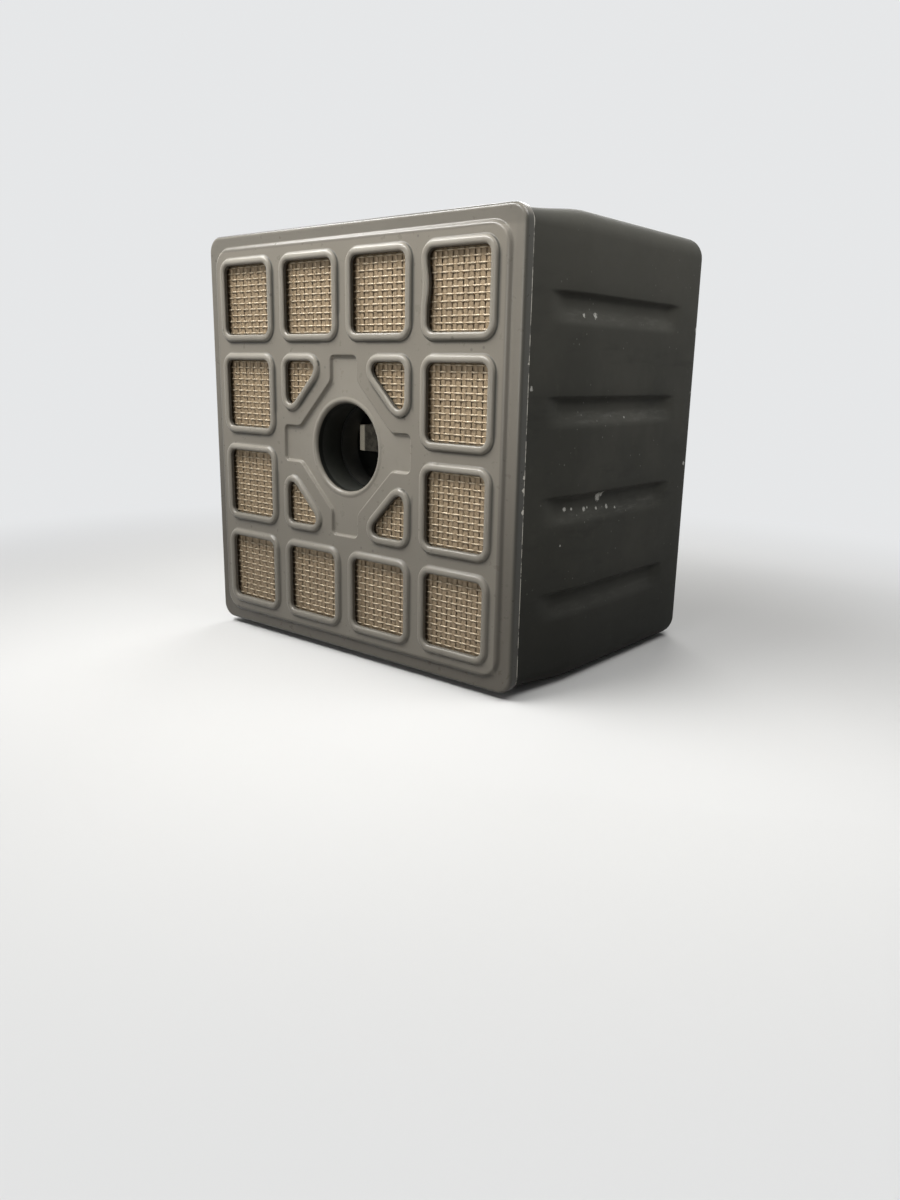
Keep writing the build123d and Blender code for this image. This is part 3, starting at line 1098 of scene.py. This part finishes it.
    def build(self) -> Workpiece:
        """Makes the can and stands it up."""
        can = self.walls()
        join_shell(can, EndFace("rear", bossed=False).build())
        can.close()
        can.thicken(SHEET)
        can.stand(Facing.REAR)
        return can

    def dress(self, can: Workpiece) -> None:
        """Paints the can and enters it."""
        can.hand_over("can_drawn", "canister_body", "case_metal", CasePaint().material())


@dataclass(frozen=True)
class Wire:
    """A wire of the weave: its section, wave, height over the weave's middle and section's turn."""

    width: float
    thick: float
    wave: float
    lift: float
    turn: float


@dataclass
class Screen:
    """Woven wire behind an end face's windows, one patch a window."""

    name: str
    node: str
    facing: Facing
    pitch: float = 2.65
    across: Wire = Wire(width=0.85, thick=0.5, wave=0.16, lift=0.3, turn=0.25)
    upright: Wire = Wire(width=2.45, thick=0.78, wave=0.08, lift=-0.1, turn=0.75)
    wires: int = 14
    sides: int = 5
    steps: int = 3
    sunk: float = 1.0
    cut: float = 32.5

    def one_way(self, kind: Wire) -> Workpiece:
        """The wires that run along X, each waved over and under the crossings."""
        half = self.wires * self.pitch / 2
        angles = [math.tau * (side + kind.turn) / self.sides for side in range(self.sides)]
        ring = [(-half, kind.width / 2 * math.cos(angle), kind.wave + kind.thick / 2 * math.sin(angle))
                for angle in angles]
        wire = Workpiece.drawn("wire", ring)
        levels = [kind.wave * math.cos(math.pi * step / self.steps) for step in range(2 * self.steps + 1)]
        for level, next_level in pairwise(levels):
            wire.draw_out((self.pitch / self.steps, 0, next_level - level))
        bpy.ops.mesh.delete(type="FACE")
        wire.close()
        wire.repeat(self.wires // 2, (2 * self.pitch, 0, 0))
        first = (self.wires - 1) / 2
        rest = [wire.copy((0, (row - first) * self.pitch, 0), flip=row % 2 == 1) for row in range(self.wires)]
        wire.discard()
        rest[0].take_in(rest[1:])
        rest[0].open()
        rest[0].move((self.pitch / 2, 0, kind.lift))
        bpy.ops.mesh.fill_holes(sides=self.sides)
        return rest[0].close()

    def patch(self) -> Workpiece:
        """A square of weave: the wires both ways."""
        patch = self.one_way(self.across)
        upright = self.one_way(self.upright)
        patch.take_in([upright.copy(turn=math.pi / 2)])
        upright.discard()
        patch.open()
        patch.weld()
        return patch.close()

    def cut_corner(self, patch: Workpiece, x: float, y: float) -> None:
        """Cuts a patch's corner towards the bore off; x and y are the signs of the patch's quarter."""
        reach = self.cut / math.sqrt(2) * MM
        patch.open()
        bpy.ops.mesh.bisect(plane_co=(x * reach, y * reach, 0), plane_no=(-x, -y, 0), clear_outer=True)
        patch.close()

    def build(self) -> Workpiece:
        """Makes the screen and stands it up."""
        patch = self.patch()
        parts = []
        for x, y, cut in windows():
            parts.append(patch.copy((x, y, 0)))
            if cut:
                self.cut_corner(parts[-1], math.copysign(1, x), math.copysign(1, y))
        patch.discard()
        screen = parts[0]
        screen.take_in(parts[1:])
        screen.shift((0, 0, -self.sunk))
        screen.stand(self.facing)
        return screen

    def dress(self, screen: Workpiece, bronze: bpy.types.Material) -> None:
        """Gives the screen its metal and enters it."""
        screen.hand_over(self.name, self.node, "wire_mesh", bronze, 100)


@dataclass
class Felt:
    """A felt layer behind a screen, pillowed a little towards each window."""

    name: str
    node: str
    facing: Facing
    hole: float = 21.4
    corner: float = 5.5
    cells: int = 64
    pillow: float = 0.35
    pillow_half: float = 9.0
    front: float = -1.97

    def build(self) -> Workpiece:
        """Makes the layer from a grid that is drawn back to its thickness, and stands it up."""
        low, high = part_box(self.node)
        side, thick = (high.x - low.x) / MM, (high.y - low.y) / MM
        felt = Workpiece.sheet("felt", side, self.cells)
        for x, y, _ in windows():
            felt.pick(Part.CORNERS, lambda corner: (
                max(abs(spot(corner).x - x), abs(spot(corner).y - y)) < self.pillow_half))
            felt.move((0, 0, self.pillow), self.pillow_half)
        felt.pick(Part.FACES, lambda face: True)
        felt.draw_out((0, 0, self.pillow - thick))
        for x, y in ((1, 1), (1, -1), (-1, -1), (-1, 1)):
            felt.pick_all()
            bpy.ops.mesh.bisect(plane_co=(x * side / 2 * MM, y * (side / 2 - self.corner) * MM, 0),
                                plane_no=(x, y, 0), clear_outer=True, use_fill=True)
        felt.weld()
        felt.close()
        core = Workpiece.drawn("core", circle(self.hole, 64, -2 * thick))
        core.draw_out((0, 0, 4 * thick))
        core.weld()
        core.close()
        felt.work("BOOLEAN", operation="DIFFERENCE", object=core.object)
        core.discard()
        felt.shift((0, 0, self.front - self.pillow))
        felt.stand(self.facing)
        return felt

    def dress(self, felt: Workpiece, wool: bpy.types.Material) -> None:
        """Gives the layer its felt and enters it."""
        felt.hand_over(self.name, self.node, "filter_felt", wool, 50)


# The bore


@dataclass
class Bore:
    """What lines the bore: the tube, a sleeve at each mouth, and the ring ahead of the strap."""

    sleeve_wall: float = 1.2
    ring_wall: float = 1.7
    tube_wall: float = 0.8
    gap: float = 0.1
    collar: float = 3.5
    sleeve_end: float = 15.0
    ring_end: float = 25.0
    soft: float = 0.15

    def section(self, inner: float, outer: float, low: float, high: float) -> list[Span]:
        """The section of a ring whose four long edges are broken, the inner two rounder."""
        soft = self.soft
        return [(inner + soft, low), (outer - soft, low), (outer, low + soft), (outer, high - soft),
                (outer - soft, high), (inner + soft, high), (inner + 0.3 * soft, high - 0.3 * soft),
                (inner, high - soft), (inner, low + soft), (inner + 0.3 * soft, low + 0.3 * soft)]

    def build(self) -> dict[str, Workpiece]:
        """Turns each piece and stands it in the bore.

        Returns:
            The pieces by the names of the nodes that they stand for.
        """
        outer = BORE_RADIUS + self.sleeve_wall
        tube = outer + self.gap
        sleeve = (BORE_RADIUS, outer, -self.sleeve_end, -self.collar)
        made = {node: lathe(f"{node}_turned", self.section(*edges)) for node, edges in {
            "bypass_tube": (tube, tube + self.tube_wall, SHEET - DEPTH, -SHEET),
            "front_sleeve": sleeve,
            "strap_ring": (outer - self.ring_wall, outer, -self.ring_end, -self.sleeve_end),
            "rear_sleeve": sleeve}.items()}
        for node, piece in made.items():
            piece.stand(Facing.REAR if node == "rear_sleeve" else Facing.FRONT)
        return made

    def dress(self, made: dict[str, Workpiece]) -> None:
        """Paints the pieces and enters them."""
        dark = BorePaint().material()
        grey = BorePaint("ring_paint", (0.033, 0.033, 0.029), (0.050, 0.048, 0.042)).material()
        for node, piece in made.items():
            finish = grey if node == "strap_ring" else dark
            piece.hand_over(f"{node}_turned", node, "case_metal", finish, 30)


@dataclass
class Strap:
    """The pull strap across the bore and the rivets that hold its two legs."""

    width: float = 11.8
    thick: float = 1.2
    lift: float = 2.4
    front: float = 25.1
    bend: float = 2.0
    leg_end: float = 44.0
    sag: float = 0.35
    sag_reach: float = 7.0
    soft: float = 0.28
    wall: float = 20.1
    rivet_depth: float = 38.0
    shank: float = 1.5
    shank_sunk: float = 0.5
    # The rivet's head, from its rim to its top: radius and height over its seat
    head: Profile = ((2.9, 0.0), (3.0, 0.12), (2.79, 0.38), (2.25, 0.6), (1.35, 0.74), (0.0, 0.8))

    @property
    def chord(self) -> float:
        """Half the distance across the bore's wall at the strap's upper edge."""
        return math.sqrt(self.wall**2 - (self.lift + self.width / 2) ** 2)

    def band(self) -> Workpiece:
        """The webbing: its middle, two turns and two legs, with soft edges."""
        z = -self.front - self.thick / 2
        flat = self.chord - self.thick / 2 - self.bend
        half = self.width / 2
        piece = Workpiece.drawn("band", [(x, self.lift + y, z) for x, y in (
            (-flat, -half), (flat, -half), (flat, half), (-flat, half))])
        bpy.ops.mesh.subdivide(number_cuts=7)
        for sign in (-1, 1):
            piece.pick_line(0, sign * flat)
            piece.spin((sign * flat, 0, z - self.bend), (0, sign, 0))
            for _ in range(2):
                piece.draw_out((0, 0, -(self.leg_end + z - self.bend) / 2))
        piece.pick(Part.CORNERS, lambda corner: spot(corner).xy.length < self.sag_reach)
        piece.move((0, 0, -self.sag), self.sag_reach)
        piece.weld()
        piece.face_outward((0, self.lift, z))
        piece.close()
        piece.thicken(self.thick, offset=0.0)
        piece.work("BEVEL", width=self.soft * MM, segments=3, limit_method="ANGLE",
                   angle_limit=math.radians(60))
        piece.stand(Facing.FRONT)
        return piece

    def rivets(self) -> Workpiece:
        """Two domed rivets, turned and laid across the bore."""
        seat = self.chord - self.thick
        end = self.wall + self.shank_sunk
        rivet = lathe("rivet", [(0, -end), (self.shank, -end), (self.shank, -seat),
                                *((radius, height - seat) for radius, height in self.head)], 32)
        pair = [rivet.copy() for _ in range(2)]
        for sign, twin in zip((-1, 1), pair):
            twin.lay((0, sign * math.pi / 2, 0), (0, self.lift, -self.rivet_depth))
        rivet.discard()
        pair[0].take_in(pair[1:])
        pair[0].stand(Facing.FRONT)
        return pair[0]

    def build(self) -> tuple[Workpiece, Workpiece]:
        """Makes the strap and its rivets."""
        return self.band(), self.rivets()

    def dress(self, band: Workpiece, rivets: Workpiece) -> None:
        """Gives both their finishes and enters them."""
        band.hand_over("strap_webbing_band", "pull_strap", "strap_webbing", StrapWebbing().material(), 50)
        rivets.hand_over("strap_rivets_domed", "strap_rivets", "rivet_metal", RivetAluminium().material())


# The studio


@dataclass(frozen=True)
class Lamp:
    """A soft lamp: its place, what it points at, its sides, its beam in degrees and its power."""

    name: str
    place: Point
    aim: Point
    sides: Span
    beam: float
    power: float

    def hang(self) -> None:
        """Adds the lamp to the scene."""
        light = bpy.data.lights.new(self.name, "AREA")
        light.shape = "RECTANGLE"
        light.size, light.size_y = self.sides
        light.spread = math.radians(self.beam)
        light.energy = self.power
        held = bpy.data.objects.new(self.name, light)
        held.location = self.place
        held.visible_camera = False
        held.rotation_mode = "QUATERNION"
        held.rotation_quaternion = (Vector(self.aim) - Vector(self.place)).to_track_quat("-Z", "Y")
        bpy.context.scene.collection.objects.link(held)


@dataclass
class Studio:
    """Pale floor and world, soft lamps, and the camera at the photograph's angle, all in metres."""

    eye: Point = (0.2908, -0.34765, 0.1283)
    forward: Point = (-0.6182, 0.7468, -0.2451)
    up: Point = (-0.1715, 0.1761, 0.9693)
    lens: float = 27.33
    sensor: float = 36.0
    clip: float = 0.01
    floor_side: float = 8.0
    floor_drop: float = 0.0003
    # Distances in millimetres from the middle between which the floor fades into the backdrop
    fade: Span = (170, 480)
    pale: Colour = (0.60, 0.597, 0.585)
    grain: Colour = (0.54, 0.535, 0.52)
    bounce: Colour = (0.09, 0.085, 0.08)
    backdrop: Colour = (0.86, 0.87, 0.88)
    shown: float = 0.92
    fill: float = 0.13
    lamps: tuple[Lamp, ...] = (
        Lamp("key", (-0.20, -0.25, 0.50), (0, -0.07, 0.17), (0.6, 0.10), 110, 1.5),
        Lamp("second", (-0.22, -0.60, 0.78), (0, -0.07, 0.18), (0.8, 0.12), 70, 0.75),
        Lamp("front_fill", (0.15, -0.75, 0.17), (0, -0.06, 0.10), (0.25, 0.25), 180, 0.9),
        Lamp("side_top", (0.24, 0.0, 0.42), (0.09, 0, 0.12), (0.2, 0.2), 180, 0.9),
        Lamp("rear", (-0.35, 0.70, 0.60), (0, 0.07, 0.10), (0.5, 0.3), 180, 3.5))

    def floor(self) -> None:
        """Lays the floor. Rays that aren't seen find it darker."""
        bpy.ops.object.select_all(action="DESELECT")
        bpy.ops.mesh.primitive_grid_add(x_subdivisions=8, y_subdivisions=8, size=self.floor_side,
                                        location=(0, 0, -self.floor_drop))
        floor = bpy.context.object
        floor.name = "studio_floor"
        mix = Paint("studio_floor", Specular_IOR_Level=0.2)
        seen = mix.seen()
        paper = mix.coats(self.pale, (mix.noise(60, 2) * 0.05, self.grain))
        made = mix.finish(mix.blend(seen, self.bounce, paper), 0.9)
        glow = mix.add("ShaderNodeEmission", {}, {"Color": (*self.backdrop, 1.0), "Strength": self.shown})
        faded = mix.add("ShaderNodeMixShader", {}, {
            0: mix.off((0, 0, 0)).between(*self.fade) * seen, 1: mix.shader.outputs[0], 2: glow.outputs[0]})
        mix.tree.links.new(faded.outputs[0], mix.output.inputs["Surface"])
        floor.data.materials.append(made)

    def world(self) -> None:
        """Lights the world. It is brighter where it is seen than where it only lights."""
        world = bpy.data.worlds.new("studio_world")
        bpy.context.scene.world = world
        world.use_nodes = True
        nodes = Nodes(world.node_tree)
        backdrop = nodes.tree.nodes["Background"].inputs
        backdrop["Color"].default_value = (*self.backdrop, 1.0)
        strength = nodes.seen() * (self.shown - self.fill) + self.fill
        nodes.tree.links.new(strength.socket, backdrop["Strength"])

    def camera(self) -> None:
        """Sets the camera up."""
        data = bpy.data.cameras.new("camera")
        data.sensor_width = self.sensor
        data.lens = self.lens
        data.clip_start = self.clip
        held = bpy.data.objects.new("camera", data)
        forward, up = Vector(self.forward).normalized(), Vector(self.up)
        right = forward.cross(up).normalized()
        up = right.cross(forward)
        held.matrix_world = Matrix.Translation(self.eye) @ Matrix((right, up, -forward)).transposed().to_4x4()
        bpy.context.scene.collection.objects.link(held)
        bpy.context.scene.camera = held

    def build(self) -> None:
        """Sets the studio up."""
        self.floor()
        for lamp in self.lamps:
            lamp.hang()
        self.world()
        self.camera()
        bpy.context.scene.view_settings.view_transform = "Standard"


def main() -> None:
    """Builds the canister piece by piece, dresses it and sets up the studio."""
    logging.basicConfig(level=logging.INFO, format="%(message)s")
    for maker in (Cover(), Can()):
        maker.dress(maker.build())
    bronze, wool = WireBronze().material(), FilterFelt().material()
    for end, facing in (("front", Facing.FRONT), ("rear", Facing.REAR)):
        screen = Screen(f"{end}_screen_woven", f"{end}_screen", facing)
        screen.dress(screen.build(), bronze)
        felt = Felt(f"{end}_felt_layer", f"{end}_filter_felt", facing)
        felt.dress(felt.build(), wool)
    bore = Bore()
    bore.dress(bore.build())
    strap = Strap()
    strap.dress(*strap.build())
    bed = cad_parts["absorber_bed"].data
    bed.materials.clear()
    bed.materials.append(PackedGranules().material())
    log.info("absorber_bed: carried over")
    Studio().build()


if __name__ == "__main__":
    main()
